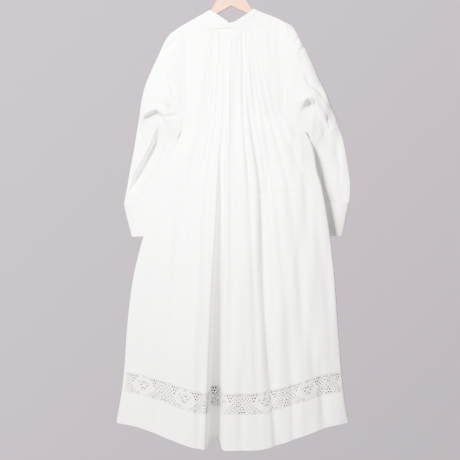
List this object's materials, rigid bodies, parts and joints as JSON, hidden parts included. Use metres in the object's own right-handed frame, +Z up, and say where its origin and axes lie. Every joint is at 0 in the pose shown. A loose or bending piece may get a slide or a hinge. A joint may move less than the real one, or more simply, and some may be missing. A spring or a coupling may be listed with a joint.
{
  "type": "church smock on hanger",
  "caption": "Long white cotton smock with gathered yoke, deep front pleat, wide sleeves, cuffs and a lace band above the hem, hung flat on a wooden hanger with a wire hook.",
  "frame": {"origin": "inside top of the hanger's wire hook, where it rests on a rail", "axes": "+Z up, +X to the right of someone who looks at the smock's front, +Y away from them, to its back"},
  "size_m": [0.7296, 0.1916, 1.4596],
  "materials": {
    "white_cotton": "matt plain weave",
    "cotton_lace": "matt bobbin lace",
    "pale_beech": "satin lacquer",
    "steel_wire": "bright drawn wire"
  },
  "bodies": {
    "root": {"hanger_wood": "pale_beech", "hanger_hook": "steel_wire", "neckband": "white_cotton", "yoke_left": "white_cotton", "yoke_right": "white_cotton", "front_tab": "white_cotton", "front_panel": "white_cotton", "back_panel": "white_cotton", "sleeve_left": "white_cotton", "sleeve_right": "white_cotton", "cuff_left": "white_cotton", "cuff_right": "white_cotton", "hem_front": "white_cotton", "hem_back": "white_cotton", "lace_front": "cotton_lace", "lace_back": "cotton_lace"}
  },
  "joints": []
}
